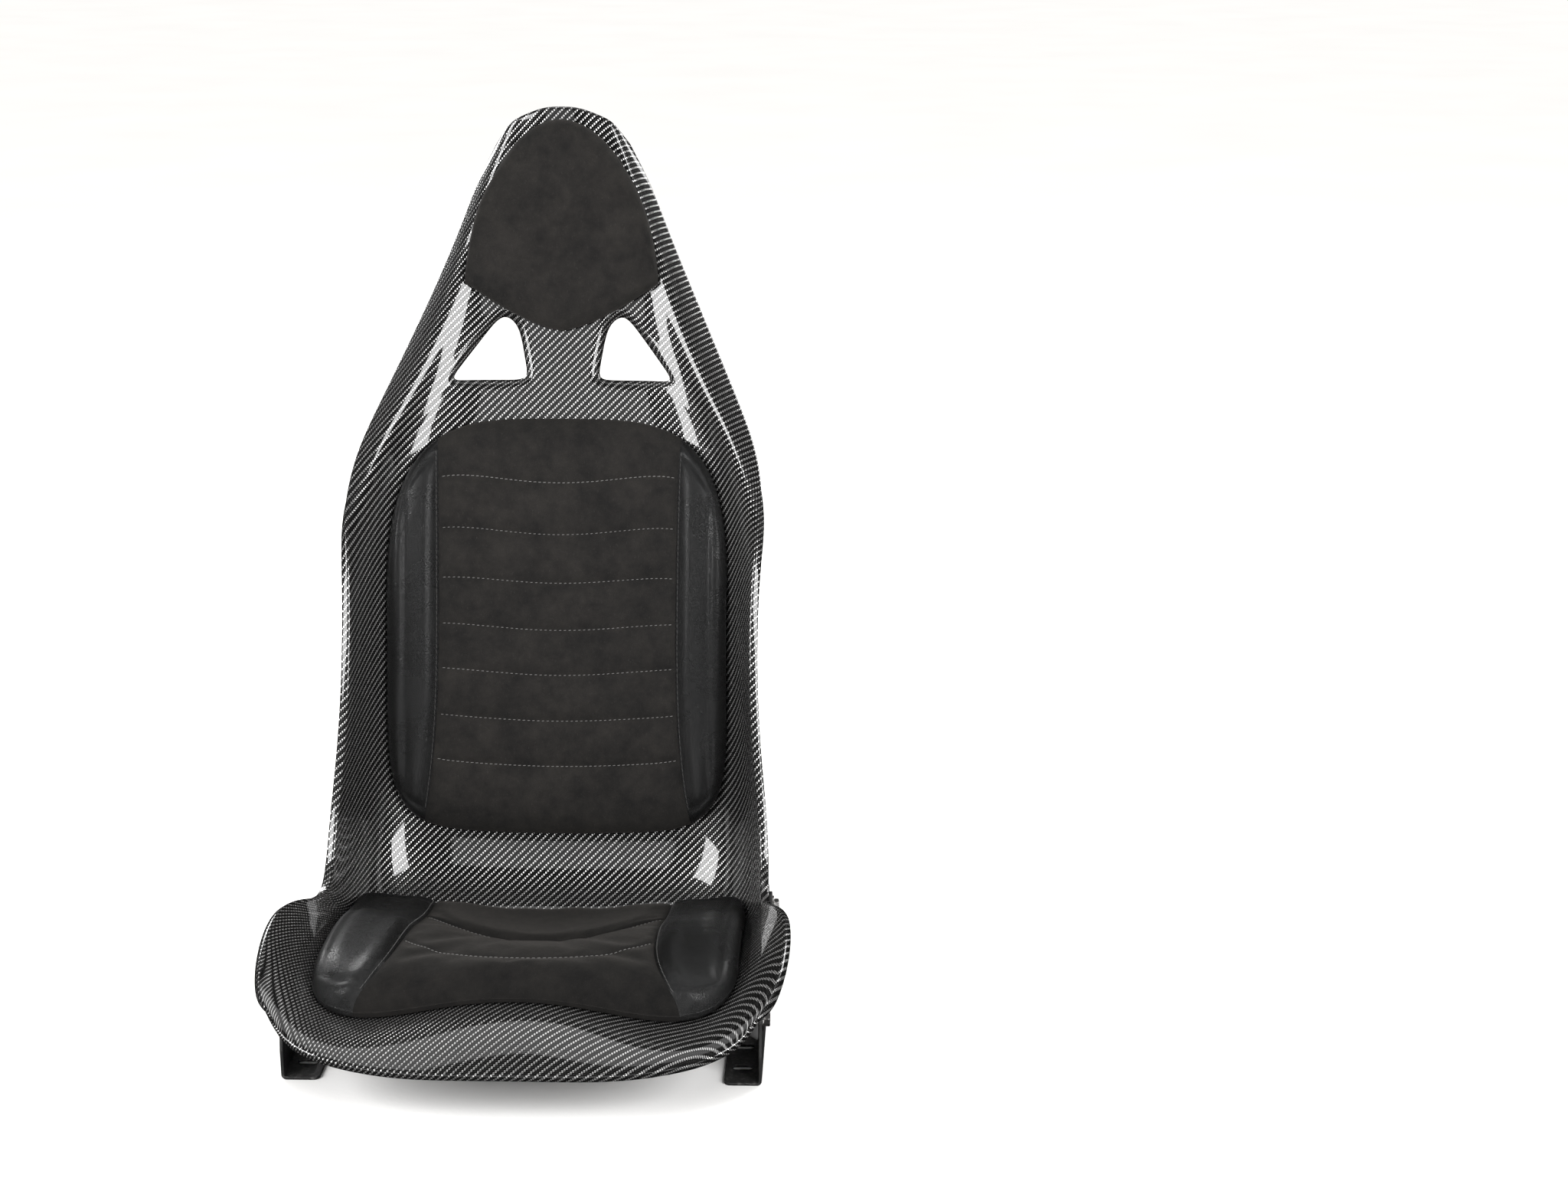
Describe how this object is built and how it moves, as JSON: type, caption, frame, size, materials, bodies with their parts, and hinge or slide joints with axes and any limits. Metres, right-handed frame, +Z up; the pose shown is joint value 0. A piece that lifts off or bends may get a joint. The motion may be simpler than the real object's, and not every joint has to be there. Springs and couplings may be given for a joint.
{
  "type": "racing seat",
  "caption": "Fixed-back bucket seat: one-piece carbon shell with harness slots and thigh wings, loose head, back and seat pads, black steel side brackets with slotted feet.",
  "frame": {"origin": "on the floor, midway between the four outer floor slots of the two brackets", "axes": "+Z up, the seat faces -Y, +X to the viewer's right when looking at its front"},
  "size_m": [0.5076, 0.6484, 0.8546],
  "materials": {
    "carbon": "clear-coated twill carbon laminate",
    "steel_black": "black powder coat",
    "steel_bright": "zinc plated",
    "suede": "microfibre suede",
    "leather": "fine grain",
    "foam": "open-cell foam",
    "board": "moulded sheet",
    "tape": "woven hook-and-loop tape"
  },
  "bodies": {
    "brackets": {"left_bracket": "steel_black", "right_bracket": "steel_black"},
    "seat": {"shell": "carbon", "mount_pads": "carbon", "threaded_collars": "steel_bright", "hook_strips_head": "tape", "hook_strips_back": "tape", "hook_strips_seat": "tape", "front_bolts": "steel_bright", "rear_bolts": "steel_bright", "front_washers": "steel_bright", "rear_washers": "steel_bright"},
    "head_pad": {"head_cover": "suede", "head_foam": "foam", "head_board": "board", "head_loop_strips": "tape"},
    "back_pad": {"back_cover_centre": "suede", "back_cover_left": "leather", "back_cover_right": "leather", "back_foam": "foam", "back_board": "board", "back_loop_strips": "tape"},
    "seat_pad": {"seat_cover_centre": "suede", "seat_cover_left": "leather", "seat_cover_right": "leather", "seat_foam": "foam", "seat_board": "board", "seat_loop_strips": "tape"}
  },
  "joints": [
    {"name": "recline", "type": "hinge", "parent": "brackets", "child": "seat", "pos_m": [0, -0.15, 0.06], "axis": [-1, 0, 0], "range_deg": [0, 3.5]},
    {"name": "head_pad_off", "type": "slide", "parent": "seat", "child": "head_pad", "axis": [0, -0.9705, 0.2413], "range_m": [0, 0.06]},
    {"name": "back_pad_off", "type": "slide", "parent": "seat", "child": "back_pad", "axis": [0, -0.96, 0.28], "range_m": [0, 0.03]},
    {"name": "seat_pad_off", "type": "slide", "parent": "seat", "child": "seat_pad", "axis": [0, 0, 1], "range_m": [0, 0.08]}
  ]
}
